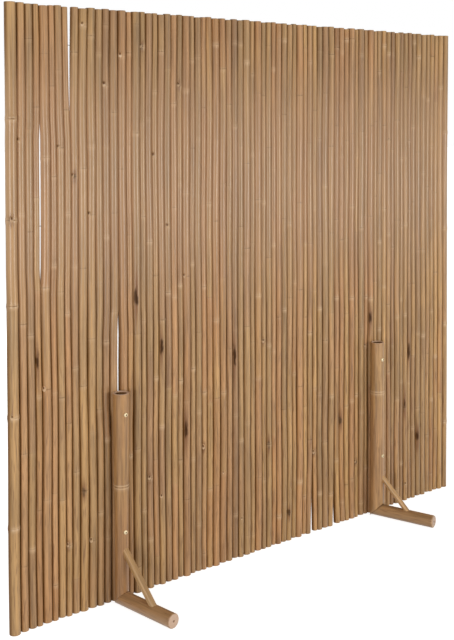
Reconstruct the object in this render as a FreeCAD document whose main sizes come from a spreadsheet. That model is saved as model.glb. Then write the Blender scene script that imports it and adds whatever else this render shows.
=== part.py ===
import FreeCAD, Part
import math
import os

# A free-standing bamboo screen: a row of upright canes threaded on four tie wires and clamped
# between two pairs of L-shaped stands, one in front and one behind, by bolts through the panel.
# X runs along the panel, -Y is its front and Z is up from the ground, in millimetres.
# Canes and stands are many-sided, with flats that lie on their true diameter.

SIZES = (
    # The panel between the outer sides of its edge canes
    ("panel_width", "1800"),
    ("panel_height", "1700"),
    # Edge canes, measured over their node rings
    ("left_edge_diameter", "34"),
    ("right_edge_diameter", "30"),
    ("edge_ring_rise", "1.5"),
    ("edge_ring_length", "14"),
    ("left_edge_node_1", "290"),
    ("left_edge_node_2", "590"),
    ("left_edge_node_3", "890"),
    ("left_edge_node_4", "1120"),
    ("left_edge_node_5", "1390"),
    ("right_edge_node_1", "250"),
    ("right_edge_node_2", "620"),
    ("right_edge_node_3", "980"),
    ("right_edge_node_4", "1340"),
    # Inner canes come in three grades
    ("slim_diameter", "19"),
    ("mid_diameter", "22.5"),
    ("stout_diameter", "26.5"),
    ("cane_sides", "12"),
    ("cane_clearance", "0.4"),
    ("top_unevenness", "4"),
    ("bottom_unevenness", "8"),
    # Slits that are left open in the row, by their distance from the left side
    ("slit_width", "4"),
    ("slit_1_inset", "98"),
    ("slit_2_inset", "190"),
    ("slit_3_inset", "334"),
    ("slit_4_inset", "1092"),
    ("slit_5_inset", "1195"),
    # Tie wires, spaced evenly between two that lie as far in from the ends of the canes
    ("wire_diameter", "2"),
    ("wire_sides", "8"),
    ("wire_end_inset", "107"),
    # Stands: each post is set in from its end of the panel
    ("left_post_inset", "334"),
    ("right_post_inset", "413"),
    ("post_height", "610"),
    ("left_post_top_diameter", "49"),
    ("left_post_low_diameter", "41"),
    ("right_post_top_diameter", "45"),
    ("right_post_low_diameter", "50"),
    ("post_straight_height", "230"),
    ("post_bore_diameter", "35"),
    ("post_bore_depth", "45"),
    ("post_ring_rise", "1.2"),
    ("post_ring_length", "12"),
    ("left_post_node", "345"),
    ("right_post_node", "436"),
    ("post_clearance", "0.3"),
    ("stand_sides", "20"),
    ("foot_diameter", "41"),
    ("foot_reach", "210"),
    ("left_splay_angle", "10"),
    ("right_splay_angle", "19"),
    ("brace_sides", "12"),
    ("left_brace_diameter", "21"),
    ("left_brace_rise", "155"),
    ("left_brace_run", "143"),
    ("right_brace_diameter", "18"),
    ("right_brace_rise", "138"),
    ("right_brace_run", "127"),
    ("brace_clearance", "0.2"),
    # Bolts through both posts and the cane between them
    ("bolt_diameter", "6"),
    ("bolt_clearance", "0.3"),
    ("bolt_head_diameter", "12"),
    ("bolt_head_height", "4"),
    ("bolt_tail", "4"),
    ("lower_bolt_height", "215"),
    ("upper_bolt_height", "552"),
    ("nut_width", "10"),
    ("nut_height", "5"),
)

# Order of the grades along the row, repeated until the panel is full
GRADES = ("mid mid slim stout slim mid slim mid stout stout "
          "mid mid mid stout slim stout slim mid slim mid").split()
# How far each cane stops short, as shares of the unevenness of its end
TOP_SHARES = (0, 0.5, 0.2, 0.9, 0.4, 0, 0.7, 0.3, 1, 0.1, 0.6)
BOTTOM_SHARES = (0, 0.4, 0, 0.8, 0.2, 1, 0, 0.5, 0.1, 0.7, 0, 0.3, 0.6)
# How many groups the inner canes are shared out to, and how many wires they are threaded on
CANE_GROUPS = 36
TIE_WIRES = 4
# How many nodes each edge cane has
EDGE_NODES = {"left": 5, "right": 4}

UP = FreeCAD.Vector(0, 0, 1)
FRONT, REAR = -1, 1

doc = FreeCAD.newDocument("bamboo_screen")
sheet = doc.addObject("Spreadsheet::Sheet", "sizes")
for row, (name, value) in enumerate(SIZES, start=1):
    sheet.set(f"A{row}", name)
    sheet.set(f"B{row}", value)
    sheet.setAlias(f"B{row}", name)
doc.recompute()

sub_parts = []


def size(name):
    """A driving dimension."""
    return float(sheet.get(name))


def named(obj, label):
    """Makes an object a sub-part of the screen, under its own label."""
    obj.Label = label
    sub_parts.append(obj)
    return obj


def turn(angle, axis=UP):
    return FreeCAD.Rotation(axis, angle)


def on_flats(sides):
    """The turn that brings a flat of a many-sided section to face along its X axis."""
    return turn(180 / size(sides))


def flat_radius(diameter, sides):
    """The radius to the corners of a section whose flats lie on a diameter."""
    return f"({diameter}) / 2 / cos(180 deg / sizes.{sides})"


def rod(name, diameter, sides, length, base, turned=FreeCAD.Rotation()):
    """A straight many-sided rod from its base along its own Z axis."""
    obj = doc.addObject("Part::Prism", name)
    obj.setExpression("Polygon", f"sizes.{sides}")
    obj.setExpression("Circumradius", flat_radius(diameter, sides))
    obj.setExpression("Height", length)
    obj.Placement = FreeCAD.Placement(base, turned * on_flats(sides))
    return obj


def culm(name, sections, sides, foot, turned=FreeCAD.Rotation()):
    """An upright stem whose diameter changes with height, through many-sided sections."""
    rings = []
    for index, (height, diameter) in enumerate(sections):
        ring = doc.addObject("Part::RegularPolygon", f"{name}_section_{index}")
        ring.setExpression("Polygon", f"sizes.{sides}")
        ring.setExpression("Circumradius", flat_radius(diameter, sides))
        ring.Placement = FreeCAD.Placement(foot, turned * on_flats(sides))
        ring.setExpression("Placement.Base.z", height)
        rings.append(ring)
    obj = doc.addObject("Part::Loft", name)
    obj.Sections = rings
    obj.Solid = True
    obj.Ruled = True
    return obj


def pin(name, diameter, length, base, turned):
    """A round rod from its base along its own Z axis."""
    obj = doc.addObject("Part::Cylinder", name)
    obj.setExpression("Radius", f"({diameter}) / 2")
    obj.setExpression("Height", length)
    obj.Placement = FreeCAD.Placement(base, turned)
    return obj


def joined(kind, name, pieces):
    """Fuses pieces, or keeps them as separate solids of one group."""
    obj = doc.addObject(kind, name)
    if kind == "Part::Compound":
        obj.Links = pieces
    else:
        obj.Shapes = pieces
    return obj


def cut(name, base, tools):
    """A piece with everything in tools taken out of it."""
    obj = doc.addObject("Part::Cut", name)
    obj.Base = base
    obj.Tool = tools[0] if len(tools) == 1 else joined("Part::MultiFuse", name + "_tools", tools)
    return obj


def lay_out_row():
    """Places the inner canes from left to right.

    Gives each cane's grade and axis, the slits as (left side, right side), and the two canes
    that the posts stand against. The canes at the posts are stout ones, and the width that is
    left at the end of the row is shared out between all the canes.
    """
    clearance = size("cane_clearance")
    half_width = size("panel_width") / 2
    row_end = size("panel_width") - size("right_edge_diameter")
    next_posts = [size("left_post_inset"), size("panel_width") - size("right_post_inset")]
    next_slits = sorted(size(f"slit_{number}_inset") for number in range(1, 6))
    cursor = size("left_edge_diameter") + clearance
    grades, starts, slit_after, bolted = [], [], [], []
    while True:
        grade = GRADES[len(grades) % len(GRADES)]
        at_post = bool(next_posts) and next_posts[0] < cursor + size("stout_diameter") + clearance
        if at_post:
            grade = "stout"
        diameter = size(f"{grade}_diameter")
        if cursor + diameter + clearance > row_end:
            break
        if at_post:
            bolted.append(len(grades))
            next_posts.pop(0)
        grades.append(grade)
        starts.append(cursor)
        cursor += diameter + clearance
        if next_slits and next_slits[0] <= cursor:
            slit_after.append(len(grades) - 1)
            next_slits.pop(0)
            cursor += size("slit_width")
    share = (row_end - cursor) / (len(grades) + 1)
    row, slits = [], []
    for index, (grade, start) in enumerate(zip(grades, starts)):
        diameter = size(f"{grade}_diameter")
        left = start + share * (index + 1) - half_width
        row.append((grade, left + diameter / 2))
        if index in slit_after:
            gap = clearance + size("slit_width") + share
            slits.append((left + diameter, left + diameter + gap))
    return row, slits, bolted


def edge_cane(label, edge, x):
    """The cane at an end of the row, with its node rings."""
    shaft = f"sizes.{edge}_edge_diameter - 2 * sizes.edge_ring_rise"
    sections = [("0", shaft)]
    for number in range(1, EDGE_NODES[edge] + 1):
        node = f"sizes.{edge}_edge_node_{number}"
        sections.append((f"{node} - sizes.edge_ring_length / 2", shaft))
        sections.append((node, f"sizes.{edge}_edge_diameter"))
        sections.append((f"{node} + sizes.edge_ring_length / 2", shaft))
    sections.append(("sizes.panel_height", shaft))
    return named(culm(f"{edge}_edge", sections, "cane_sides", FreeCAD.Vector(x, 0, 0)), label)


def bolt_way(name, x, bolt, reach):
    """The clearance hole of a bolt, right through whatever stands within reach of the panel."""
    start = FreeCAD.Vector(x, -reach, size(f"{bolt}_bolt_height"))
    diameter = "sizes.bolt_diameter + 2 * sizes.bolt_clearance"
    return pin(name, diameter, f"{2 * reach}", start, turn(-90, FreeCAD.Vector(1, 0, 0)))


def inner_canes(row, bolted, reach):
    """The canes between the edges, shared out to groups, and the two that are drilled for the posts."""
    plain = []
    for index, (grade, x) in enumerate(row):
        name = f"cane_{index + 1:02}"
        top = f"{TOP_SHARES[index % len(TOP_SHARES)]} * sizes.top_unevenness"
        bottom = BOTTOM_SHARES[index % len(BOTTOM_SHARES)]
        if index in bolted:
            bottom = 0
        length = f"sizes.panel_height - {top} - {bottom} * sizes.bottom_unevenness"
        base = FreeCAD.Vector(x, 0, bottom * size("bottom_unevenness"))
        cane = rod(name, f"sizes.{grade}_diameter", "cane_sides", length, base)
        if index in bolted:
            ways = [bolt_way(f"{name}_{bolt}_way", x, bolt, reach) for bolt in ("lower", "upper")]
            end = "left" if index == bolted[0] else "right"
            named(cut(f"{name}_drilled", cane, ways), f"{end}_post_cane")
        else:
            plain.append(cane)
    for number in range(CANE_GROUPS):
        first = round(number * len(plain) / CANE_GROUPS)
        last = round((number + 1) * len(plain) / CANE_GROUPS)
        label = f"cane_group_{number + 1:02}"
        named(joined("Part::Compound", label, plain[first:last]), label)


def tie_wire(number, slits):
    """A tie wire where it shows, from cane to cane across each slit."""
    along_x = turn(90, FreeCAD.Vector(0, 1, 0))
    spacing = (size("panel_height") - 2 * size("wire_end_inset")) / (TIE_WIRES - 1)
    height = size("wire_end_inset") + (number - 1) * spacing
    spans = []
    for index, (left, right) in enumerate(slits, start=1):
        base = FreeCAD.Vector(left, 0, height)
        name = f"wire_{number}_span_{index}"
        spans.append(rod(name, "sizes.wire_diameter", "wire_sides", f"{right - left}", base, along_x))
    named(joined("Part::Compound", f"wire_{number}", spans), f"tie_wire_{number}")


def post_diameter(end, height):
    """The diameter of a post over its flats at a height, apart from its node ring."""
    low, top = f"sizes.{end}_post_low_diameter", f"sizes.{end}_post_top_diameter"
    rise = f"max(0; ({height} - sizes.post_straight_height))"
    return f"{low} + ({top} - {low}) * {rise} / (sizes.post_height - sizes.post_straight_height)"


def post_corner(end, height):
    """How far a post reaches from its axis at a height, at the corners of its section."""
    low, top = size(f"{end}_post_low_diameter"), size(f"{end}_post_top_diameter")
    span = size("post_height") - size("post_straight_height")
    rise = max(0, height - size("post_straight_height"))
    return (low + (top - low) * rise / span) / 2 / math.cos(math.pi / size("stand_sides"))


def post_distance(end):
    """How far the axes of an end's posts stand from the middle of the panel."""
    ring = size("post_ring_rise") / math.cos(math.pi / size("stand_sides"))
    node = post_corner(end, size(f"{end}_post_node")) + ring
    widest = max(post_corner(end, 0), post_corner(end, size("post_height")), node)
    return size("stout_diameter") / 2 + size("post_clearance") + widest


def half_space(name, corner, normal):
    """A block that takes away everything on one side of a mitre."""
    edge = 2 * size("foot_reach")
    block = doc.addObject("Part::Box", name)
    for side in ("Length", "Width", "Height"):
        block.setExpression(side, "2 * sizes.foot_reach")
    facing = FreeCAD.Rotation(UP, normal)
    centred = facing.multVec(FreeCAD.Vector(-edge / 2, -edge / 2, 0))
    block.Placement = FreeCAD.Placement(corner + centred, facing)
    return block


def stand(end, side, x, reach):
    """An L-shaped stand: a post and a foot mitred together, with a brace across the corner."""
    name = f"{'front' if side == FRONT else 'rear'}_{end}"
    distance = post_distance(end)
    splay = math.radians(size(f"{end}_splay_angle"))
    outward = FreeCAD.Vector(math.sin(splay), side * math.cos(splay), 0)
    across = outward.cross(UP)
    corner = FreeCAD.Vector(x, side * distance, size("foot_diameter") / 2)
    foot_of_post = FreeCAD.Vector(x, side * distance, 0)
    facing = turn(math.degrees(math.atan2(outward.y, outward.x)))
    along_foot = FreeCAD.Rotation(across, UP, outward, "ZXY")
    into_foot = outward - UP

    node = f"sizes.{end}_post_node"
    ring_start = f"{node} - sizes.post_ring_length / 2"
    ring_end = f"{node} + sizes.post_ring_length / 2"
    sections = [
        ("0", f"sizes.{end}_post_low_diameter"),
        ("sizes.post_straight_height", f"sizes.{end}_post_low_diameter"),
        (ring_start, post_diameter(end, f"({ring_start})")),
        (node, post_diameter(end, node) + " + 2 * sizes.post_ring_rise"),
        (ring_end, post_diameter(end, f"({ring_end})")),
        ("sizes.post_height", f"sizes.{end}_post_top_diameter"),
    ]
    stem = culm(f"{name}_stem", sections, "stand_sides", foot_of_post, facing)
    bore_floor = foot_of_post + UP * (size("post_height") - size("post_bore_depth"))
    bore = rod(f"{name}_bore", "sizes.post_bore_diameter", "stand_sides", "sizes.post_bore_depth",
               bore_floor, facing)
    ways = [bolt_way(f"{name}_{bolt}_way", x, bolt, reach) for bolt in ("lower", "upper")]
    below = half_space(f"{name}_post_mitre", corner, into_foot)
    named(cut(f"{name}_post", stem, [bore, below] + ways), f"{name}_post")

    heel = corner - outward * (size("foot_diameter") / 2)
    foot_length = "sizes.foot_reach + sizes.foot_diameter / 2"
    foot = rod(f"{name}_foot_rod", "sizes.foot_diameter", "stand_sides", foot_length, heel, along_foot)
    above = half_space(f"{name}_foot_mitre", corner, into_foot * -1)
    named(cut(f"{name}_foot", foot, [above]), f"{name}_foot")

    rise, run = f"{end}_brace_rise", f"{end}_brace_run"
    downward = outward * size(run) - UP * size(rise)
    along_brace = FreeCAD.Rotation(across, across.cross(downward) * -1, downward, "ZXY")
    brace_length = f"sqrt(sizes.{run} ^ 2 + sizes.{rise} ^ 2)"
    brace_top = corner + UP * size(rise)
    brace = rod(f"{name}_brace_rod", f"sizes.{end}_brace_diameter", "brace_sides", brace_length,
                brace_top, along_brace)
    gap = "2 * sizes.brace_clearance"
    post_seat = rod(f"{name}_post_seat", f"sizes.{end}_post_low_diameter + {gap}", "stand_sides",
                    "sizes.post_height", foot_of_post, facing)
    foot_seat = rod(f"{name}_foot_seat", f"sizes.foot_diameter + {gap}", "stand_sides", foot_length,
                    heel, along_foot)
    named(cut(f"{name}_brace", brace, [post_seat, foot_seat]), f"{name}_brace")


def bolts_and_nuts(posts):
    """The bolts, with their heads on the front posts, and the nuts behind the rear posts."""
    bolts, nuts = [], []
    to_rear = turn(-90, FreeCAD.Vector(1, 0, 0))
    for end, x in posts.items():
        for level in ("lower", "upper"):
            name = f"{end}_{level}"
            height = size(f"{level}_bolt_height")
            rim = size("bolt_head_diameter") / 2
            face = post_distance(end) + max(post_corner(end, height - rim), post_corner(end, height + rim))
            seat = FreeCAD.Vector(x, -face, height)
            outer = FreeCAD.Vector(x, -face - size("bolt_head_height"), height)
            length = f"{2 * face} + sizes.bolt_head_height + sizes.nut_height + sizes.bolt_tail"
            head = pin(f"{name}_head", "sizes.bolt_head_diameter", "sizes.bolt_head_height", outer, to_rear)
            shank = pin(f"{name}_shank", "sizes.bolt_diameter", length, outer, to_rear)
            bolts.append(joined("Part::MultiFuse", f"{name}_bolt", [head, shank]))

            back = FreeCAD.Vector(x, face, height)
            blank = doc.addObject("Part::Prism", f"{name}_nut_blank")
            blank.Polygon = 6
            blank.setExpression("Circumradius", "sizes.nut_width / 2 / cos(30 deg)")
            blank.setExpression("Height", "sizes.nut_height")
            blank.Placement = FreeCAD.Placement(back, to_rear)
            through = f"{2 * face} + sizes.nut_height"
            thread_size = "sizes.bolt_diameter + 2 * sizes.bolt_clearance"
            thread = pin(f"{name}_thread", thread_size, through, seat, to_rear)
            nuts.append(cut(f"{name}_nut", blank, [thread]))
    named(joined("Part::Compound", "bolt_group", bolts), "stand_bolts")
    named(joined("Part::Compound", "nut_group", nuts), "bolt_nuts")


def build():
    row, slits, bolted = lay_out_row()
    half_width = size("panel_width") / 2
    reach = 2 * max(post_distance("left"), post_distance("right"))
    edge_cane("left_edge_cane", "left", size("left_edge_diameter") / 2 - half_width)
    edge_cane("right_edge_cane", "right", half_width - size("right_edge_diameter") / 2)
    inner_canes(row, bolted, reach)
    for number in range(1, TIE_WIRES + 1):
        tie_wire(number, slits)
    posts = {"left": row[bolted[0]][1], "right": row[bolted[1]][1]}
    for end, x in posts.items():
        for side in (FRONT, REAR):
            stand(end, side, x, reach)
    bolts_and_nuts(posts)
    distances = [post_distance(end) for end in posts]
    print("canes:", len(row) + 2, "slits:", slits, "posts:", posts, "axis distances:", distances)


def write():
    doc.recompute()
    for obj in doc.Objects:
        if "Invalid" in obj.State or "Error" in obj.State:
            raise RuntimeError(f"{obj.Name} didn't build")
    for obj in sub_parts:
        if obj.Shape.isNull() or not obj.Shape.isValid():
            raise RuntimeError(f"{obj.Label} isn't a sound solid")
    os.makedirs("parts", exist_ok=True)
    for obj in sub_parts:
        obj.Shape.exportStep(f"parts/{obj.Label}.step")
    print("sub-parts:", len(sub_parts))


build()
write()
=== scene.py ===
import math
import random

import bmesh
import bpy
from mathutils import Matrix, Vector


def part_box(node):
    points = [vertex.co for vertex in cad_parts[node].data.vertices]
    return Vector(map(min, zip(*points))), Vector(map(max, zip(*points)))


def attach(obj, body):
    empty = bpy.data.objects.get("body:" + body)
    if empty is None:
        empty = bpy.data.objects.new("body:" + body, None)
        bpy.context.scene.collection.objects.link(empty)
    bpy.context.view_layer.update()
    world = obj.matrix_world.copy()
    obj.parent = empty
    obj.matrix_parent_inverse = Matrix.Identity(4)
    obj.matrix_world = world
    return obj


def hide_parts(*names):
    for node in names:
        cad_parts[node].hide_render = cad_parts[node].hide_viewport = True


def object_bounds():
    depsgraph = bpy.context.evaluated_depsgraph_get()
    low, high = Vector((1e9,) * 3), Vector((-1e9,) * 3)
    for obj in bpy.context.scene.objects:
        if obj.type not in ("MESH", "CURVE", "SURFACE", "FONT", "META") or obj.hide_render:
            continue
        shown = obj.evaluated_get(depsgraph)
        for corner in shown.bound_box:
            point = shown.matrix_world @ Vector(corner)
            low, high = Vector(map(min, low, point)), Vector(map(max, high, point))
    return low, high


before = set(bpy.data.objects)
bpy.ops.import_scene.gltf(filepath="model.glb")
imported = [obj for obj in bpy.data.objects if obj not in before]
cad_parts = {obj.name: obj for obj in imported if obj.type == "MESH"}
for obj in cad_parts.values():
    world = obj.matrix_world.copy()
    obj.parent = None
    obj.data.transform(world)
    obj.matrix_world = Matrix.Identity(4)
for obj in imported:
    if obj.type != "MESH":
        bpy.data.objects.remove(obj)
CAD_LOW, CAD_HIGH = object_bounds()

# A free-standing bamboo screen seen from its front left. Lengths are in metres, X runs along the panel,
# -Y is its front and Z is up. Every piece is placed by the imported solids.

MM = 0.001
# Points nearer than this are made one
MERGE = 0.01 * MM
FINE_MERGE = 0.001 * MM
# Faces that meet at more than this look sharp
CREASE = math.radians(40)
# What the seeds of the patterns on canes and stands are drawn between
SEEDS = (0.0, 40.0)
BODY = "root"
PANEL_TOP = CAD_HIGH.z
LEFT_SIDE = CAD_LOW.x
RIGHT_SIDE = CAD_HIGH.x

# Canes: the shaft as a share of its solid, the wall as a share of the shaft, and how deep the ends are hollow
CANE_SEED = 11
CANE_SIDES = 20
SHAFT_SHARE = 1.035
TAPER = 0.025
WALL_SHARE = 0.3
RIM = 0.7 * MM
HOLLOW_DEPTH = (0.02, 0.06)
# Plain rings of a turned cane or post: their steps, and how far they keep from a node
STATION_STEP = 0.07
POST_STEP = 0.05
NODE_CLEAR = 0.02
# Share of the unevenness of the solids that the bottoms of the canes keep
BOTTOM_SHARE = 0.5
# Waves of a single cane: the most it sways sideways, the shares of that, its bow to front or back in
# millimetres, and the lengths of both
INNER_SWAY = 0.45 * MM
EDGE_SWAY = 0.2 * MM
SWAY_SHARE = (0.2, 1.0)
BOW = (0.2, 0.8)
BEND_LENGTH = (0.5, 1.1)
# Nodes: spacing, rise, least strength, bloom and line, and how far they keep from ends and knots
NODE_SPACING = (0.24, 0.36)
NODE_RISE = 0.6 * MM
NODE_LEAST = 0.15
NODE_BLOOM = 0.8
NODE_LINE_MOST = 0.8
END_CLEAR = 0.03
KNOT_CLEAR = 0.16
EDGE_NODES = {"left": (0.29, 0.59, 0.89, 1.12, 1.39), "right": (0.25, 0.62, 0.98, 1.34)}
EDGE_NODE_RISE = 1.4 * MM
EDGE_INSET = 0.4 * MM
# Buds, and knots, which are the larger ones: the eye and the lip are placed on a bud of radius 1
BUD_SHARE = 0.1
BUD_EYE = 0.3
BUD_EYE_SIZE = 0.45
BUD_LIP = 0.45
BUD_DARK = 0.15
BUD_FORM = (4.5 * MM, 6.5 * MM, 1.5 * MM)
BUD_LIFT = 3 * MM
BUD_SIZE = (0.5, 0.9)
KNOT_SIZE = (1.0, 1.5)
KNOT_FACING = -0.7
KNOT_TURN = 0.35
# How much tone and shade change from one length between nodes to the next
TONE_STEP = 0.15
SHADE_STEP = 0.4
# The tone of each edge cane, and what is added to its shade
EDGE_TONE = {"left": 0.32, "right": 0.45}
EDGE_SHADE = {"left": 0.0, "right": -0.8}
# How a node is turned: height from its ridge, share of the rise, pale bloom and dark line
NODE_PROFILE = (
    (-14 * MM, 0.0, 0.0, 0.0),
    (-7 * MM, 0.4, 0.5, 0.0),
    (-2 * MM, 1.0, 1.0, 0.1),
    (0.0, 0.3, 0.3, 1.0),
    (2 * MM, 0.8, 0.8, 0.3),
    (7 * MM, 0.2, 0.2, 0.1),
    (14 * MM, 0.0, 0.0, 0.0),
)
POST_NODE_PROFILE = (
    (-16 * MM, 0.0, 0.0, 0.0),
    (-8 * MM, 0.5, 0.2, 0.0),
    (-4 * MM, 1.0, 0.7, 0.0),
    (-1.5 * MM, 0.6, 0.2, 0.9),
    (0.5 * MM, 0.5, 0.2, 0.9),
    (3 * MM, 1.0, 0.8, 0.0),
    (6 * MM, 0.4, 0.2, 0.6),
    (8 * MM, 0.2, 0.0, 0.2),
    (16 * MM, 0.0, 0.0, 0.0),
)
# Slits in the row, from the left: place, heights where it stands open, and how far each side gives way
SLITS = (
    (0.102, 0.925, 1.38, 0.9 * MM),
    (0.195, 1.34, 1.70, 4.0 * MM),
    (0.349, 0.53, 0.85, 2.0 * MM),
    (1.107, 0.0, 0.28, 5.2 * MM),
    (1.207, 0.0, 0.17, 6.0 * MM),
)
SLIT_CLOSING = -2.0 * MM
SLIT_REACH = 0.09
SLIT_EASE = 0.04
# Nearer to a slit than this, a cane sways less
SLIT_HOLD = 0.04
# Waves that neighbouring canes share: size, length, and turn for each metre along the row
WANDER = ((0.9 * MM, 0.85, 11.0), (0.6 * MM, 0.52, -17.0))
WANDER_FADE = 0.1
# The right side draws in a little about this height
DRAWN_IN = {"height": 1.12, "half_length": 0.5, "reach": 0.12, "most": 4 * MM}
# Dark stains that stand out: distance from the left side, height and half length
STAINS = (
    (0.095, 0.735, 0.035), (0.406, 0.87, 0.04), (0.508, 0.715, 0.04), (0.576, 0.45, 0.04),
    (0.781, 0.645, 0.05), (1.390, 0.69, 0.035), (1.584, 0.54, 0.045), (1.633, 0.52, 0.03),
    (1.574, 0.35, 0.035), (1.624, 0.225, 0.03),
)
# Stains by chance: how often a cane is picked, below which height its node is drawn, from which height the
# drawn node stays clean, and half lengths
CHANCE_STAINS = 0.12
CHANCE_NODES_TOP = 1.05
CHANCE_STAIN_TOP = 0.85
CHANCE_STAIN_SPAN = (0.012, 0.035)
# Stains about knots: how often, and half length
KNOT_STAINS = 0.5
KNOT_STAIN_SPAN = 0.01
# Knots that stand out: distance from the left side and height
KNOTS = (
    (0.01, 0.59), (0.01, 1.12), (0.04, 1.33), (0.125, 0.65), (0.16, 1.31), (0.185, 0.20),
    (0.195, 0.72), (0.20, 1.23), (0.24, 1.65), (0.25, 0.195), (0.26, 1.12), (0.31, 1.485),
    (0.36, 1.57), (0.39, 0.41), (0.44, 1.60), (0.46, 0.33), (0.48, 1.28), (0.50, 0.265),
    (0.515, 1.07), (0.565, 1.49), (0.585, 0.915), (0.66, 0.38), (0.89, 0.675), (1.11, 0.27),
    (1.325, 0.195), (1.36, 0.595), (1.555, 0.06),
)
# Canes whose tone stands out: distance from the left side and tone
TONED_CANES = ((0.205, 0.05), (0.298, 0.0), (1.025, 1.0))

# Stands
STAND_SEED = 5
POLE_SIDES = 36
SPLAY = {"left": math.radians(10), "right": math.radians(19)}
POST_NODES = {"left": 0.345, "right": 0.436}
POST_STRAIGHT = 0.230
POST_LOW_RADIUS = {"left": 20.5 * MM, "right": 25 * MM}
POST_TOP_RADIUS = {"left": 24.5 * MM, "right": 22.5 * MM}
FOOT_RADIUS = 20.5 * MM
FOOT_REACH = 0.210
FOOT_END_BARE = {"left": 1.0, "right": 0.5}
BORE_RADIUS = 17.5 * MM
BORE_DEPTH = 0.045
POST_NODE_RISE = 1.2 * MM
POST_NODE_LINE = {"left": 0.6, "right": 0.3}
BRACE_RADIUS = {"left": 10.5 * MM, "right": 9 * MM}
BRACE_RISE = {"left": 0.155, "right": 0.138}
BRACE_RUN = {"left": 0.143, "right": 0.127}
BRACE_INSET = 12 * MM
BRACE_STEPS = 6
# Widths of the rounded rim of a post and of the painted shade along a mitre seam
POST_RIM = 1.5 * MM
SEAM_SHADE = 1.6 * MM
# Tone and shade of each piece of a stand
STAND_TONES = {
    ("left", "post"): (0.85, -1.3), ("left", "foot"): (0.0, -0.2), ("left", "brace"): (0.4, -0.3),
    ("right", "post"): (0.5, -0.9), ("right", "foot"): (0.5, -2.0), ("right", "brace"): (0.28, 1.5),
}
# How much darker a post is at its foot than at its top, and how faint the streaks of a stand are
POST_FOOT_SHADE = {"left": -1.6, "right": 0.0}
STAND_CALM = 0.55

# Bolts and wires
HEAD_HEIGHT = 4 * MM
HEAD_RADIUS = 6 * MM
SHANK_RADIUS = 3 * MM
BOLT_SIDES = 24
THREAD_LENGTH = 9 * MM
THREAD_STEP = 0.5 * MM
THREAD_DEPTH = 0.4 * MM
THREAD_RINGS = 18
NUT_BEVEL = 0.5 * MM
WIRE_RADIUS = 1 * MM
WIRE_SIDES = 10
WIRE_COUNT = 4

# Camera, placed for a frame of 454 by 640 pixels
FRAME_LONG_SIDE = 640
FOCAL_PIXELS = 1001
SENSOR = 36.0
CAMERA_PLACE = Vector((-2.074, -2.452, 1.381))
CAMERA_TURN = math.radians(-38.11)
CAMERA_PITCH = math.radians(-1.61)
CAMERA_ROLL = math.radians(-0.11)
CAMERA_SHIFT = -0.266

# Soft boxes: name, place, size and power in watts, and the point that all of them face
LAMPS = (
    ("right_box", (0.95, -3.3, 0.95), (1.1, 0.8), 49.0),
    ("left_box", (-2.8, -1.85, 0.95), (1.0, 0.8), 37.0),
    ("rear_box", (0.4, 3.8, 1.6), (2.0, 1.5), 60.0),
)
LIGHT_AIM = Vector((0.0, 0.0, 0.9))
ROOM_LIGHT = 0.36
FLOOR_SIZE = 40.0
FLOOR_GLOW = 0.82


class Amount:
    """A value in a finish that adds its own Math nodes when it is used in arithmetic."""

    def __init__(self, finish, socket):
        self.finish = finish
        self.socket = socket

    def math(self, operation, *values, clamp=False):
        settings = {"operation": operation, "use_clamp": clamp}
        return self.finish.amount("ShaderNodeMath", settings, dict(enumerate(values)))

    def __add__(self, other):
        return self.math("ADD", self, other)

    def __sub__(self, other):
        return self.math("SUBTRACT", self, other)

    def __rsub__(self, other):
        return self.math("SUBTRACT", other, self)

    def __mul__(self, other):
        return self.math("MULTIPLY", self, other)

    def __truediv__(self, other):
        return self.math("DIVIDE", self, other)

    def __rtruediv__(self, other):
        return self.math("DIVIDE", other, self)

    def __pow__(self, other):
        return self.math("POWER", self, other)

    def __abs__(self):
        return self.math("ABSOLUTE", self)

    __radd__ = __add__
    __rmul__ = __mul__

    def clipped(self):
        return self.math("ADD", self, 0.0, clamp=True)

    def rise(self, low, high):
        """0 below low, 1 above high, and smooth between them. low may be the larger."""
        settings = {"interpolation_type": "SMOOTHSTEP", "clamp": True}
        inputs = {"Value": self, "From Min": low, "From Max": high}
        return self.finish.amount("ShaderNodeMapRange", settings, inputs, "Result")


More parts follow.
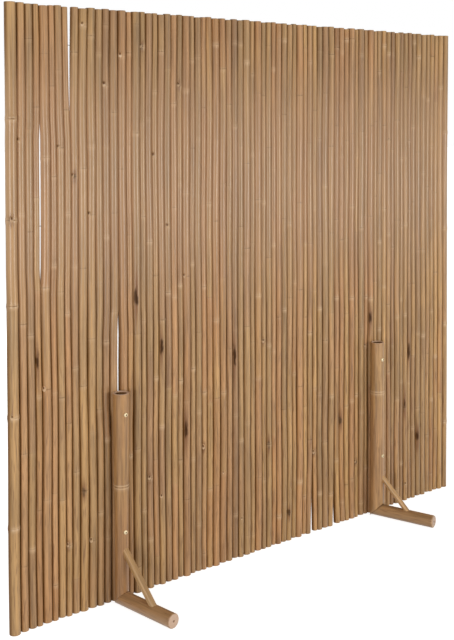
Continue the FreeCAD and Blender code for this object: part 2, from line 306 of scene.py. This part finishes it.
class Finish:
    """The nodes of a material or of the world."""

    def __init__(self, owner):
        self.owner = owner
        owner.use_nodes = True
        self.tree = owner.node_tree

    def node(self, kind, settings=None, inputs=None):
        """Adds a node, sets it up and joins or sets its sockets."""
        made = self.tree.nodes.new(kind)
        for name, value in (settings or {}).items():
            if name == "stops":
                self.set_stops(made.color_ramp, value)
            else:
                setattr(made, name, value)
        self.feed(made, inputs or {})
        return made

    def feed(self, node, inputs):
        for name, value in inputs.items():
            if isinstance(value, Amount):
                value = value.socket
            if isinstance(value, bpy.types.NodeSocket):
                self.tree.links.new(value, node.inputs[name])
            else:
                node.inputs[name].default_value = value

    @staticmethod
    def set_stops(ramp, stops):
        while len(ramp.elements) < len(stops):
            ramp.elements.new(1.0)
        for element, (place, colour) in zip(ramp.elements, stops):
            element.position = place
            element.color = colour

    def amount(self, kind, settings=None, inputs=None, output=0):
        return Amount(self, self.node(kind, settings, inputs).outputs[output])

    def mark(self, name):
        """A value that the mesh carries at each of its corners."""
        return self.amount("ShaderNodeAttribute", {"attribute_name": name}, output="Fac")

    def place(self):
        return self.node("ShaderNodeTexCoord").outputs["Object"]

    def grain(self):
        """The place on a piece as it was turned, with Z along its fibres."""
        return self.node("ShaderNodeAttribute", {"attribute_name": "grain"}).outputs["Vector"]

    def stretched(self, offset, scale):
        """The place on a turned piece, moved along by offset and scaled by a triple."""
        moved = self.node("ShaderNodeCombineXYZ", inputs={0: offset, 1: offset, 2: offset}).outputs[0]
        place = self.grain()
        for operation, other in (("ADD", moved), ("MULTIPLY", scale)):
            made = self.node("ShaderNodeVectorMath", {"operation": operation}, {0: place, 1: other})
            place = made.outputs[0]
        return place

    def noise(self, vector, scale, detail):
        inputs = {"Vector": vector, "Scale": scale, "Detail": detail}
        return self.amount("ShaderNodeTexNoise", {"noise_dimensions": "3D"}, inputs, "Fac")

    def blend(self, share, below, above, kind="MIX"):
        """A colour between two, by share."""
        settings = {"data_type": "RGBA", "blend_type": kind, "clamp_factor": True}
        made = self.node("ShaderNodeMix", settings)
        for index, value in ((0, share), (6, below), (7, above)):
            self.feed(made, {index: value})
        return made.outputs[2]

    def ramp(self, share, stops):
        return self.node("ShaderNodeValToRGB", {"stops": stops}, {"Fac": share}).outputs["Color"]

    def seen(self):
        """1 for the rays that show the background: to the camera, by a mirror or through glass."""
        path = self.node("ShaderNodeLightPath").outputs
        kinds = [Amount(self, path[f"Is {kind} Ray"]) for kind in ("Camera", "Glossy", "Transmission")]
        return sum(kinds, 0.0).clipped()

    def bump(self, height, strength, distance):
        inputs = {"Height": height, "Strength": strength, "Distance": distance}
        return self.node("ShaderNodeBump", inputs=inputs).outputs["Normal"]


def colour(red, green, blue):
    """A colour given in the 0 to 255 steps of a screen."""
    linear = []
    for part in (red, green, blue):
        share = part / 255
        linear.append(share / 12.92 if share <= 0.04045 else ((share + 0.055) / 1.055) ** 2.4)
    return (*linear, 1.0)


PINK_TAN = colour(177, 133, 92)
TAN = colour(175, 136, 87)
GOLDEN = colour(185, 144, 91)
OLIVE = colour(162, 128, 86)
GREY_BROWN = colour(152, 114, 80)
RUSSET = colour(173, 123, 78)
SHEEN_BAND_TAN = colour(160, 123, 86)
PALE = colour(212, 179, 140)
SIDE_SHEEN = colour(216, 180, 146)
DARK_LINE_AND_SEAM_SHADE = colour(74, 40, 14)
DIRT = colour(124, 88, 54)
STAIN = colour(42, 21, 3)
SCORCH = colour(118, 74, 32)
VALLEY_SHADE = colour(100, 58, 4)
RAW_WOOD = colour(204, 171, 144)
HOLLOW_SHADE_AND_PITH = colour(116, 78, 48)
ZINC = colour(246, 230, 190)
DULL_ZINC = colour(206, 186, 146)
WIRE_GREY = colour(136, 130, 120)
WHITE = (1.0, 1.0, 1.0, 1.0)
FLOOR_WHITE = (0.6, 0.6, 0.6, 1.0)
# Heights over which a painted sheen band across the middle of the panel sets in and ends, and over which the
# panel's lower part sets in
SHEEN_BAND_FROM = (0.68, 1.18)
SHEEN_BAND_TO = (1.66, 1.36)
LOWER_PART = (1.1, 0.4)


def principled(name):
    finish = Finish(bpy.data.materials.new(name))
    finish.shader = finish.tree.nodes["Principled BSDF"]
    return finish


def bamboo_finish():
    """Dried bamboo skin: tones that change from cane to cane and along each one, fibres, nodes and stains,
    with a painted sheen band across the middle of the panel and painted shade between the canes and inside
    their hollow ends.
    """
    finish = principled("bamboo_skin")
    tone = finish.mark("tone")
    seed = finish.mark("seed")
    across = finish.mark("across")
    height = finish.amount("ShaderNodeSeparateXYZ", inputs={0: finish.grain()}, output="Z")
    sheen_band = height.rise(*SHEEN_BAND_FROM) * height.rise(*SHEEN_BAND_TO)
    low = height.rise(*LOWER_PART)

    drift = finish.noise(finish.stretched(seed, (3.0, 3.0, 2.6)), 1.0, 2.0)
    shifted = (tone + (drift - 0.5) * 0.6).clipped()
    skin = finish.ramp(shifted, (
        (0.0, GREY_BROWN), (0.2, OLIVE), (0.4, TAN), (0.6, PINK_TAN), (0.8, RUSSET), (1.0, GOLDEN)))
    skin = finish.blend(0.3, skin, TAN)
    # Painted sheen: in a band across the middle of the panel the tones are drawn towards one even tan
    skin = finish.blend(sheen_band * 0.55, skin, SHEEN_BAND_TAN)

    cloud = finish.noise(finish.stretched(seed, (1.0, 1.0, 0.06)), 110.0, 3.0)
    streak = finish.noise(finish.stretched(seed, (1.0, 1.0, 0.012)), 360.0, 2.0)
    fibre = finish.noise(finish.stretched(seed, (1.0, 1.0, 0.01)), 1100.0, 2.0)
    lines = ((streak - 0.5) * 0.9 + (fibre - 0.5) * 0.35) * (1.0 - finish.mark("calm"))
    relief = (cloud - 0.5) * 1.2 + lines + finish.mark("shade") * 0.11
    # Within the painted sheen band the grain and shade are flattened
    light = 1.0 + low * 0.05 + relief * (1.0 - sheen_band * 0.5)
    grey = finish.node("ShaderNodeCombineColor", inputs={0: light, 1: light, 2: light}).outputs[0]
    skin = finish.blend(1.0, skin, grey, "MULTIPLY")
    dirt = finish.noise(finish.stretched(seed, (1.0, 1.0, 0.07)), 240.0, 4.0)
    skin = finish.blend(dirt.rise(0.52, 0.7) * (0.1 + low * 0.6), skin, DIRT)

    blotch = finish.noise(finish.stretched(seed, (1.0, 1.0, 0.25)), 170.0, 4.0)
    up = (height - finish.mark("stain_at")) / finish.mark("stain_span")
    aside = (across + 0.5) * 1.3
    halo = (up * up * 0.16 + aside * aside) ** 0.5 + (streak - 0.5) * 1.6
    skin = finish.blend(halo.rise(1.0, 0.2) * 0.8, skin, SCORCH)
    reach = (up * up + aside * aside * 1.1) ** 0.5 + (blotch - 0.5) * 1.6
    core = reach.rise(0.8, 0.2)
    skin = finish.blend(core * 0.85, skin, STAIN)
    # The node bloom is fainter within the painted sheen band
    skin = finish.blend(finish.mark("pale") * (0.85 - sheen_band * 0.35), skin, PALE)
    # Dark lines at nodes and eyes of buds, and painted shade along the mitre seams
    line = finish.mark("dark")
    dark = line * (0.3 + (blotch.rise(0.42, 0.6) + line.rise(0.8, 0.95)).clipped() * 0.7)
    skin = finish.blend(dark * 0.85, skin, DARK_LINE_AND_SEAM_SHADE)
    # Painted shade darkens the sides of each cane where it meets its neighbours, more in the lower part and
    # not within the sheen band, where a painted sheen lightens the sides instead
    valley = abs(across) ** 5.0
    skin = finish.blend(valley * (0.7 + low * 0.15) * (1.0 - sheen_band), skin, VALLEY_SHADE)
    skin = finish.blend(valley * sheen_band * 0.7, skin, SIDE_SHEEN)
    skin = finish.blend(finish.mark("cut"), skin, RAW_WOOD)
    # Painted shade inside the hollow ends and bores
    skin = finish.blend(finish.mark("hollow"), skin, HOLLOW_SHADE_AND_PITH)

    whole = (1.0 - abs(across) ** 4.0) * (1.0 - core) * (1.0 - dark)
    finish.feed(finish.shader, {
        "Base Color": skin,
        "Roughness": 0.4 + streak * 0.2,
        "Specular IOR Level": 0.1,
        "Coat Weight": whole * (0.5 + streak * 0.4),
        "Coat Roughness": 0.3,
        "Coat IOR": 1.55,
        "Normal": finish.bump(streak * 0.5 + fibre * 0.5, 0.2, 0.3 * MM),
    })
    return finish.owner


def zinc_finish():
    """Zinc that has gone dull in patches, with painted shade in the sockets of the bolt heads."""
    finish = principled("zinc")
    cloud = finish.noise(finish.place(), 260.0, 4.0)
    skin = finish.blend(cloud.rise(0.35, 0.7), ZINC, DULL_ZINC)
    finish.feed(finish.shader, {
        # Painted shade in the socket of each bolt head
        "Base Color": finish.blend(finish.mark("dark"), skin, HOLLOW_SHADE_AND_PITH),
        "Metallic": 0.5,
        "Roughness": 0.3 + cloud * 0.25,
    })
    return finish.owner


def wire_finish():
    finish = principled("wire_steel")
    finish.feed(finish.shader, {"Base Color": WIRE_GREY, "Metallic": 0.6, "Roughness": 0.5})
    return finish.owner


def floor_finish():
    """A white floor that stays white to the camera and still takes the screen's shadow."""
    finish = principled("pale_floor")
    finish.feed(finish.shader, {"Base Color": FLOOR_WHITE, "Roughness": 0.9})
    plain = finish.shader.outputs[0]
    glow = finish.node("ShaderNodeEmission", inputs={"Color": WHITE, "Strength": FLOOR_GLOW}).outputs[0]
    both = finish.node("ShaderNodeAddShader", inputs={0: plain, 1: glow}).outputs[0]
    mixed = finish.node("ShaderNodeMixShader", inputs={0: finish.seen(), 1: plain, 2: both}).outputs[0]
    finish.feed(finish.tree.nodes["Material Output"], {"Surface": mixed})
    return finish.owner


MARKS = ("tone", "seed", "shade", "calm", "stain_at", "stain_span", "pale", "dark", "across", "cut", "hollow")
UNSTAINED = {"stain_at": -5.0, "stain_span": 0.01}


class Bench:
    """A mesh that pieces are turned on, with the marks that its finish reads."""

    def __init__(self):
        self.bm = bmesh.new()
        self.layers = {name: self.bm.verts.layers.float.new(name) for name in MARKS}
        self.layers["grain"] = self.bm.verts.layers.float_vector.new("grain")

    def turn_profile(self, stations, sides, **marks):
        """Turns a profile of (radius, height, marks) about the Z axis and gives its vertices."""
        known = set(self.bm.verts)
        verts = []
        for radius, height, own in stations:
            vert = self.bm.verts.new((radius, 0.0, height))
            self.set_marks([vert], **{**marks, **own})
            verts.append(vert)
        edges = [self.bm.edges.new(pair) for pair in zip(verts, verts[1:])]
        bmesh.ops.spin(self.bm, geom=verts + edges, axis=(0, 0, 1), cent=(0, 0, 0), steps=sides,
                       angle=2 * math.pi, use_merge=True)
        made = [vert for vert in self.bm.verts if vert not in known]
        bmesh.ops.remove_doubles(self.bm, verts=made, dist=MERGE)
        made = [vert for vert in self.bm.verts if vert not in known]
        faces = list({face for vert in made for face in vert.link_faces})
        bmesh.ops.recalc_face_normals(self.bm, faces=faces)
        self.set_grain(made)
        return made

    def set_grain(self, verts):
        for vert in verts:
            vert[self.layers["grain"]] = vert.co

    def set_marks(self, verts, **marks):
        for vert in verts:
            for name, value in marks.items():
                vert[self.layers[name]] = value

    def move(self, verts, matrix):
        bmesh.ops.transform(self.bm, matrix=matrix, verts=verts)

    def saw(self, verts, point, normal, **marks):
        """Saws off what lies beyond a plane, and marks the narrow edge that stays."""
        for back in (SEAM_SHADE, 0.0):
            faces = {face for vert in verts for face in vert.link_faces}
            edges = {edge for vert in verts for edge in vert.link_edges}
            sawn = bmesh.ops.bisect_plane(
                self.bm, geom=list(verts) + list(edges) + list(faces), dist=FINE_MERGE,
                plane_co=point - normal * back, plane_no=normal, clear_outer=back == 0.0)
            cut_edges = [part for part in sawn["geom_cut"] if isinstance(part, bmesh.types.BMEdge)]
            verts = [vert for vert in self.bm.verts if vert.is_valid]
        bmesh.ops.edgeloop_fill(self.bm, edges=cut_edges)
        self.set_marks({vert for edge in cut_edges for vert in edge.verts}, **marks)

    def finish(self, name, material, slot, *nodes):
        """Makes the piece, in place of the solids that it stands for."""
        for face in self.bm.faces:
            face.smooth = True
        mesh = bpy.data.meshes.new(name)
        self.bm.to_mesh(mesh)
        self.bm.free()
        mesh.set_sharp_from_angle(angle=CREASE)
        mesh.materials.append(material)
        piece = bpy.data.objects.new(name, mesh)
        bpy.context.scene.collection.objects.link(piece)
        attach(piece, BODY)
        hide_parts(*nodes)


def solids_of(node):
    """The lowest and highest corner of each separate solid of a node, from left to right."""
    bm = bmesh.new()
    bm.from_mesh(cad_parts[node].data)
    bmesh.ops.remove_doubles(bm, verts=bm.verts, dist=FINE_MERGE)
    waiting = set(bm.verts)
    boxes = []
    while waiting:
        reached = [waiting.pop()]
        for vert in reached:
            for edge in vert.link_edges:
                other = edge.other_vert(vert)
                if other in waiting:
                    waiting.remove(other)
                    reached.append(other)
        places = [vert.co for vert in reached]
        low = Vector(min(place[axis] for place in places) for axis in range(3))
        high = Vector(max(place[axis] for place in places) for axis in range(3))
        boxes.append((low, high))
    bm.free()
    return sorted(boxes, key=lambda box: box[0].x)


def smooth(share):
    share = min(1.0, max(0.0, share))
    return share * share * (3 - 2 * share)


def waves(parts, height):
    """How far a cane lies aside at a height, by waves given as (size, length, start)."""
    return sum(size * math.sin(2 * math.pi * height / length + start) for size, length, start in parts)


def own_waves(sizes, scale, rng):
    """The two waves of a single cane, with sizes drawn between two shares of a scale."""
    return [(rng.uniform(*sizes) * scale, rng.uniform(*BEND_LENGTH), rng.uniform(0, 2 * math.pi))
            for _ in range(2)]


def row_shift(x, height):
    """How far the row stands sideways at a place: it wanders, and gives way beside its slits."""
    held = min(1.0, (RIGHT_SIDE - abs(x)) / WANDER_FADE)
    shift = held * waves([(size, length, turn * x) for size, length, turn in WANDER], height)
    for inset, low, high, give in SLITS:
        away = x - (LEFT_SIDE + inset)
        if high > PANEL_TOP - MM:
            open_share = max(0.0, (height - low) / (high - low))
        elif low <= 0.0:
            open_share = max(0.0, (high - height) / high)
        else:
            open_share = smooth((height - low) / SLIT_EASE) * smooth((high - height) / SLIT_EASE)
        side = SLIT_CLOSING + (give - SLIT_CLOSING) * open_share
        shift += (side if away > 0 else -side) * math.exp(-abs(away) / SLIT_REACH)
    drawn = smooth(1.0 - abs(height - DRAWN_IN["height"]) / DRAWN_IN["half_length"])
    return shift - DRAWN_IN["most"] * drawn * math.exp((x - RIGHT_SIDE) / DRAWN_IN["reach"])


def cane_stations(radius_at, bottom, top, nodes, rise, tone, shade, rng):
    """The profile of a cane from the partition inside its foot to the one inside its head."""
    # The hollow ends are coloured with painted shade
    cut, hollow = {"cut": 1.0}, {"hollow": 1.0}
    foot, head = radius_at(bottom), radius_at(top)
    foot_hole, head_hole = foot * (1 - WALL_SHARE), head * (1 - WALL_SHARE)
    foot_floor, head_floor = bottom + rng.uniform(*HOLLOW_DEPTH), top - rng.uniform(*HOLLOW_DEPTH)
    between = []
    height = bottom + STATION_STEP
    while height < top - STATION_STEP / 2:
        if all(abs(height - node) > NODE_CLEAR for node in nodes):
            between.append((radius_at(height), height, {}))
        height += STATION_STEP
    for node, strength in nodes.items():
        line = rng.uniform(0.0, NODE_LINE_MOST)
        for away, share, pale, dark in NODE_PROFILE:
            wide = radius_at(node) + share * strength * rise
            own = {"pale": pale * strength * NODE_BLOOM, "dark": dark * line}
            between.append((wide, node + away, own))
    between.sort(key=lambda station: station[1])
    lengths = [(rng.uniform(-TONE_STEP, TONE_STEP), rng.uniform(-SHADE_STEP, SHADE_STEP))
               for _ in range(len(nodes) + 1)]
    for _, height, own in between:
        tone_step, shade_step = lengths[sum(node < height for node in nodes)]
        own["tone"] = tone + tone_step
        own["shade"] = shade + shade_step
    return [
        (0.0, foot_floor, hollow), (foot_hole, foot_floor, hollow), (foot_hole, bottom + RIM, hollow),
        (foot_hole, bottom, cut), (foot - RIM, bottom, cut), (foot, bottom + RIM, {}),
        *between,
        (head, top - RIM, {}), (head - RIM, top, cut), (head_hole, top, cut),
        (head_hole, top - RIM, hollow), (head_hole, head_floor, hollow), (0.0, head_floor, hollow),
    ]


def node_heights(bottom, top, knots, rng):
    """The nodes of a cane, with one at each of its knots."""
    heights = []
    height = bottom + rng.uniform(END_CLEAR, NODE_SPACING[1])
    while height < top - END_CLEAR:
        if all(abs(height - knot) > KNOT_CLEAR for knot in knots):
            heights.append(height)
        height += rng.uniform(*NODE_SPACING)
    return sorted(heights + knots)


def add_bud(bench, radius, height, facing, size, marks):
    """The scar of a side shoot: a low almond with a dark eye above a pale lip."""
    made = bmesh.ops.create_uvsphere(bench.bm, u_segments=12, v_segments=10, radius=1.0)["verts"]
    for vert in made:
        eye = Vector((vert.co.x, vert.co.y - BUD_EYE)).length < BUD_EYE_SIZE
        lip = 0.0 if eye else smooth(BUD_LIP - vert.co.y)
        bench.set_marks([vert], **marks, pale=lip, dark=1.0 if eye else BUD_DARK)
    flat = Matrix.Diagonal((*(half * size for half in BUD_FORM), 1.0))
    upright = Matrix.Translation((0.0, -radius, height)) @ Matrix.Rotation(math.radians(90), 4, "X")
    bench.move(made, Matrix.Rotation(facing, 4, "Z") @ upright @ flat)
    bench.set_grain(made)
    return made


def found_on(places, axis, pitch):
    """What a list of places holds for the cane at an axis."""
    return [place[1:] for place in places if abs(LEFT_SIDE + place[0] - axis) <= pitch / 2]


def grow_cane(bench, low, high, rng, edge=None):
    """One cane in the place of its solid, a little crooked, with its own tone."""
    axis = (low.x + high.x) / 2
    pitch = high.x - low.x
    knots = [height for height, in found_on(KNOTS, axis, pitch)]
    if edge:
        full, rise, share = pitch / 2 - EDGE_NODE_RISE, EDGE_NODE_RISE, 1.0
        nodes = {height: 1.0 for height in EDGE_NODES[edge]}
        lean, taper, tone, sideways = 1, 0.0, EDGE_TONE[edge], EDGE_SWAY
        axis += EDGE_INSET if edge == "left" else -EDGE_INSET
    else:
        full, rise, share = pitch / 2, NODE_RISE, SHAFT_SHARE
        heights = node_heights(low.z, high.z, knots, rng)
        nodes = {height: NODE_LEAST + (1 - NODE_LEAST) * rng.random() ** 2 for height in heights}
        lean, taper, tone, sideways = rng.choice((-1, 1)), rng.uniform(0.0, TAPER), rng.random(), INNER_SWAY
        for toned, in found_on(TONED_CANES, axis, pitch):
            tone = toned
    span = high.z - low.z

    def radius_at(height):
        along_cane = (height - low.z) / span
        return full * (share - taper * (along_cane if lean > 0 else 1 - along_cane))

    marks = {"tone": tone, "seed": rng.uniform(*SEEDS), "shade": rng.uniform(-1.0, 1.0), **UNSTAINED}
    if edge:
        marks["shade"] += EDGE_SHADE[edge]
    low_nodes = [height for height in nodes if height < CHANCE_NODES_TOP]
    for height in knots:
        if rng.random() < KNOT_STAINS:
            marks.update(stain_at=height, stain_span=KNOT_STAIN_SPAN)
    for height, half_length in found_on(STAINS, axis, pitch):
        marks.update(stain_at=height, stain_span=half_length)
    if marks["stain_at"] < 0.0 and low_nodes and rng.random() < CHANCE_STAINS:
        place, half_length = rng.choice(low_nodes), rng.uniform(*CHANCE_STAIN_SPAN)
        if place < CHANCE_STAIN_TOP:
            marks.update(stain_at=place, stain_span=half_length)
    stations = cane_stations(radius_at, low.z * BOTTOM_SHARE, high.z, nodes, rise, tone, marks["shade"], rng)
    verts = bench.turn_profile(stations, CANE_SIDES, **marks)
    for vert in verts:
        bench.set_marks([vert], across=max(-1.0, min(1.0, vert.co.x / full)))
    for height in nodes:
        if height in knots:
            facing, size = KNOT_FACING + rng.uniform(-KNOT_TURN, KNOT_TURN), rng.uniform(*KNOT_SIZE)
        elif rng.random() < BUD_SHARE:
            facing, size = rng.uniform(0.0, 2 * math.pi), rng.uniform(*BUD_SIZE)
        else:
            continue
        verts += add_bud(bench, radius_at(height), height + BUD_LIFT, facing, size, marks)
    beside = min(abs(axis - LEFT_SIDE - slit[0]) for slit in SLITS)
    sway = own_waves(SWAY_SHARE, sideways * min(1.0, beside / SLIT_HOLD), rng)
    bow = own_waves(BOW, MM, rng)
    for vert in verts:
        height = vert.co.z
        vert.co.x += axis + row_shift(axis, height)
        vert.co.x += waves(sway, height)
        vert.co.y += waves(bow, height)


def make_canes(material):
    rng = random.Random(CANE_SEED)
    inner = sorted(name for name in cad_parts
                   if name.startswith("cane_group_") or name.endswith("_post_cane"))
    for name in inner:
        bench = Bench()
        for low, high in solids_of(name):
            grow_cane(bench, low, high, rng)
        bench.finish(f"bamboo_{name}", material, "cane", name)
    for edge in ("left", "right"):
        name = f"{edge}_edge_cane"
        bench = Bench()
        grow_cane(bench, *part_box(name), rng, edge)
        bench.finish(f"bamboo_{name}", material, "edge_cane", name)


def make_wires(material):
    """Tie wires that run through the whole row, from edge cane to edge cane."""
    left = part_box("left_edge_cane")
    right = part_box("right_edge_cane")
    start = (left[0].x + left[1].x) / 2
    length = (right[0].x + right[1].x) / 2 - start
    for number in range(1, WIRE_COUNT + 1):
        name = f"tie_wire_{number}"
        low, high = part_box(name)
        bench = Bench()
        stations = [(0.0, 0.0, {}), (WIRE_RADIUS, 0.0, {}), (WIRE_RADIUS, length, {}), (0.0, length, {})]
        wire = bench.turn_profile(stations, WIRE_SIDES)
        place = Matrix.Translation((start, 0.0, (low.z + high.z) / 2))
        bench.move(wire, place @ Matrix.Rotation(math.radians(90), 4, "Y"))
        bench.finish(f"steel_{name}", material, "wire", name)


def along(point, direction):
    """The place of a piece that was turned about Z and now runs from a point in a direction."""
    return Matrix.Translation(point) @ direction.to_track_quat("Z", "Y").to_matrix().to_4x4()


def stand_marks(side, part, rng):
    tone, shade = STAND_TONES[side, part]
    return {"tone": tone, "seed": rng.uniform(*SEEDS), "shade": shade, "calm": STAND_CALM, **UNSTAINED}


def post_stations(side, top):
    """A post from under its mitre to the floor of its open top."""
    # The bore of the open top is coloured with painted shade that deepens inwards
    cut, hollow = {"cut": 1.0}, {"hollow": 1.0}
    node, rim = POST_NODES[side], POST_TOP_RADIUS[side]

    def radius_at(height):
        share = max(0.0, height - POST_STRAIGHT) / (top - POST_STRAIGHT)
        return POST_LOW_RADIUS[side] + (rim - POST_LOW_RADIUS[side]) * share

    plain = [step * POST_STEP for step in range(int(top / POST_STEP))]
    sides = [(radius_at(height), height, {}) for height in plain if abs(height - node) > NODE_CLEAR]
    for away, share, pale, dark in POST_NODE_PROFILE:
        own = {"pale": pale, "dark": dark * POST_NODE_LINE[side]}
        sides.append((radius_at(node) + share * POST_NODE_RISE, node + away, own))
    sides.sort(key=lambda station: station[1])
    for _, height, own in sides:
        own["shade"] = STAND_TONES[side, "post"][1] + POST_FOOT_SHADE[side] * (1 - height / top)
    return [
        (0.0, 0.0, cut), *sides,
        (rim, top - POST_RIM, {}), (rim - POST_RIM, top, cut), (BORE_RADIUS + MM, top, cut),
        (BORE_RADIUS, top - MM, cut), (BORE_RADIUS, top - 4 * MM, {"hollow": 0.5}),
        (BORE_RADIUS, top - BORE_DEPTH, hollow), (0.0, top - BORE_DEPTH, hollow),
    ]


def foot_stations(reach, bare):
    """A foot from behind its mitre to its end, where the rim is rounded and the bare wood and pith show."""
    end = {"cut": bare}
    return [
        (FOOT_RADIUS, -0.05, {}), (FOOT_RADIUS, 0.05, {}), (FOOT_RADIUS, 0.12, {}),
        (FOOT_RADIUS, reach - 6 * MM, {}), (FOOT_RADIUS, reach - 3 * MM, {}),
        (FOOT_RADIUS - MM, reach - MM, {"cut": 0.6 * bare}),
        (FOOT_RADIUS - 3 * MM, reach, end), (4 * MM, reach, end), (2 * MM, reach - MM, {"hollow": 0.7}),
        (0.0, reach - 1.5 * MM, {"hollow": 1.0}),
    ]


def make_stand(face, side, material, rng):
    """A post, the foot that is mitred to it and the brace across their corner."""
    post_name, foot_name, brace_name = (f"{face}_{side}_{part}" for part in ("post", "foot", "brace"))
    low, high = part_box(post_name)
    outward = Vector((math.sin(SPLAY[side]), (-1 if face == "front" else 1) * math.cos(SPLAY[side]), 0.0))
    up = Vector((0.0, 0.0, 1.0))
    axis = Vector(((low.x + high.x) / 2, (low.y + high.y) / 2, 0.0))
    corner = axis + up * FOOT_RADIUS
    mitre = (outward - up).normalized()

    bench = Bench()
    post = bench.turn_profile(post_stations(side, high.z), POLE_SIDES, **stand_marks(side, "post", rng))
    bench.move(post, Matrix.Translation(axis))
    # The dark mark along the mitre paints the shade of the seam
    bench.saw(post, corner, mitre, dark=1.0)
    bench.finish(f"bamboo_{post_name}", material, "stand", post_name)

    bench = Bench()
    stations = foot_stations(FOOT_REACH, FOOT_END_BARE[side])
    foot = bench.turn_profile(stations, POLE_SIDES, **stand_marks(side, "foot", rng))
    bench.move(foot, along(corner, outward))
    # The dark mark along the mitre paints the shade of the seam
    bench.saw(foot, corner, -mitre, dark=1.0)
    bench.finish(f"bamboo_{foot_name}", material, "stand", foot_name)

    bench = Bench()
    start = corner + up * BRACE_RISE[side]
    stop = corner + outward * BRACE_RUN[side]
    radius = BRACE_RADIUS[side]
    length = (stop - start).length
    shaft = [(radius, BRACE_INSET + (length - 2 * BRACE_INSET) * step / BRACE_STEPS, {})
             for step in range(BRACE_STEPS + 1)]
    stations = [(0.0, BRACE_INSET, {}), *shaft, (0.0, length - BRACE_INSET, {})]
    brace = bench.turn_profile(stations, POLE_SIDES, **stand_marks(side, "brace", rng))
    bench.move(brace, along(start, stop - start))
    bench.finish(f"bamboo_{brace_name}", material, "stand", brace_name)


def bolt_stations(length):
    """A bolt from the floor of the socket in its head to the end of its thread."""
    # The socket in the head is marked dark for the painted shade that the zinc finish puts in it
    dark = {"dark": 1.0}
    head = [
        (0.0, -2.4 * MM, dark), (2.0 * MM, -2.4 * MM, dark), (2.1 * MM, -0.4 * MM, dark), (2.6 * MM, 0.0, {}),
        (4.4 * MM, -0.4 * MM, {}), (5.6 * MM, -1.5 * MM, {}), (HEAD_RADIUS, -2.8 * MM, {}),
        (HEAD_RADIUS, -HEAD_HEIGHT, {}), (SHANK_RADIUS, -HEAD_HEIGHT, {}),
    ]
    thread = [(SHANK_RADIUS - (step % 2) * THREAD_DEPTH, -length + THREAD_LENGTH - step * THREAD_STEP, {})
              for step in range(THREAD_RINGS)]
    return [*head, *thread, (SHANK_RADIUS - 0.6 * MM, -length, {}), (0.0, -length, {})]


def make_bolts(material):
    bench = Bench()
    for low, high in solids_of("stand_bolts"):
        bolt = bench.turn_profile(bolt_stations(high.y - low.y), BOLT_SIDES)
        place = Matrix.Translation(((low.x + high.x) / 2, low.y, (low.z + high.z) / 2))
        bench.move(bolt, place @ Matrix.Rotation(math.radians(90), 4, "X"))
    bench.finish("zinc_stand_bolts", material, "bolt", "stand_bolts")


def make_nuts(material):
    """Six-sided nuts with their corners turned off."""
    bench = Bench()
    for low, high in solids_of("bolt_nuts"):
        thick = high.y - low.y
        flats = min(high.x - low.x, high.z - low.z)
        radius = flats / math.sqrt(3)
        nut = bmesh.ops.create_cone(bench.bm, cap_ends=True, segments=6, radius1=radius, radius2=radius,
                                    depth=thick)
        caps = {face for vert in nut["verts"] for face in vert.link_faces if abs(face.normal.z) > 0.9}
        rims = {edge for face in caps for edge in face.edges}
        bmesh.ops.bevel(bench.bm, geom=list(rims), offset=NUT_BEVEL, affect="EDGES", segments=2,
                        profile=0.5, material=-1)
        verts = [vert for vert in bench.bm.verts if abs(vert.co.z) <= thick and vert.co.length < 2 * radius]
        place = Matrix.Translation(((low.x + high.x) / 2, (low.y + high.y) / 2, (low.z + high.z) / 2))
        bench.move(verts, place @ Matrix.Rotation(math.radians(90), 4, "X"))
    bench.finish("zinc_bolt_nuts", material, "bolt", "bolt_nuts")


def make_floor():
    bm = bmesh.new()
    bmesh.ops.create_grid(bm, x_segments=1, y_segments=1, size=FLOOR_SIZE)
    mesh = bpy.data.meshes.new("floor")
    bm.to_mesh(mesh)
    bm.free()
    mesh.materials.append(floor_finish())
    floor = bpy.data.objects.new("floor", mesh)
    bpy.context.scene.collection.objects.link(floor)


def make_lights():
    """Two soft boxes in front, the stronger on the right, and one behind, in a white room."""
    world = Finish(bpy.data.worlds.new("studio"))
    strength = ROOM_LIGHT + world.seen() * (1.0 - ROOM_LIGHT)
    world.feed(world.tree.nodes["Background"], {"Color": WHITE, "Strength": strength})
    bpy.context.scene.world = world.owner
    for name, place, size, power in LAMPS:
        lamp = bpy.data.lights.new(name, "AREA")
        lamp.shape = "RECTANGLE"
        lamp.size, lamp.size_y = size
        lamp.energy = power
        holder = bpy.data.objects.new(name, lamp)
        holder.location = place
        holder.rotation_euler = (LIGHT_AIM - Vector(place)).to_track_quat("-Z", "Y").to_euler()
        bpy.context.scene.collection.objects.link(holder)


def make_camera():
    data = bpy.data.cameras.new("camera")
    data.sensor_width = SENSOR
    data.lens = FOCAL_PIXELS / FRAME_LONG_SIDE * SENSOR
    data.shift_y = CAMERA_SHIFT
    camera = bpy.data.objects.new("camera", data)
    level = Matrix.Rotation(CAMERA_TURN, 4, "Z") @ Matrix.Rotation(math.radians(90) + CAMERA_PITCH, 4, "X")
    camera.matrix_world = Matrix.Translation(CAMERA_PLACE) @ level @ Matrix.Rotation(CAMERA_ROLL, 4, "Z")
    bpy.context.scene.collection.objects.link(camera)
    bpy.context.scene.camera = camera


bamboo = bamboo_finish()
zinc = zinc_finish()
make_canes(bamboo)
make_wires(wire_finish())
stand_rng = random.Random(STAND_SEED)
for stand_face in ("front", "rear"):
    for stand_side in ("left", "right"):
        make_stand(stand_face, stand_side, bamboo, stand_rng)
make_bolts(zinc)
make_nuts(zinc)
make_floor()
make_lights()
make_camera()
bpy.context.scene.view_settings.view_transform = "Standard"
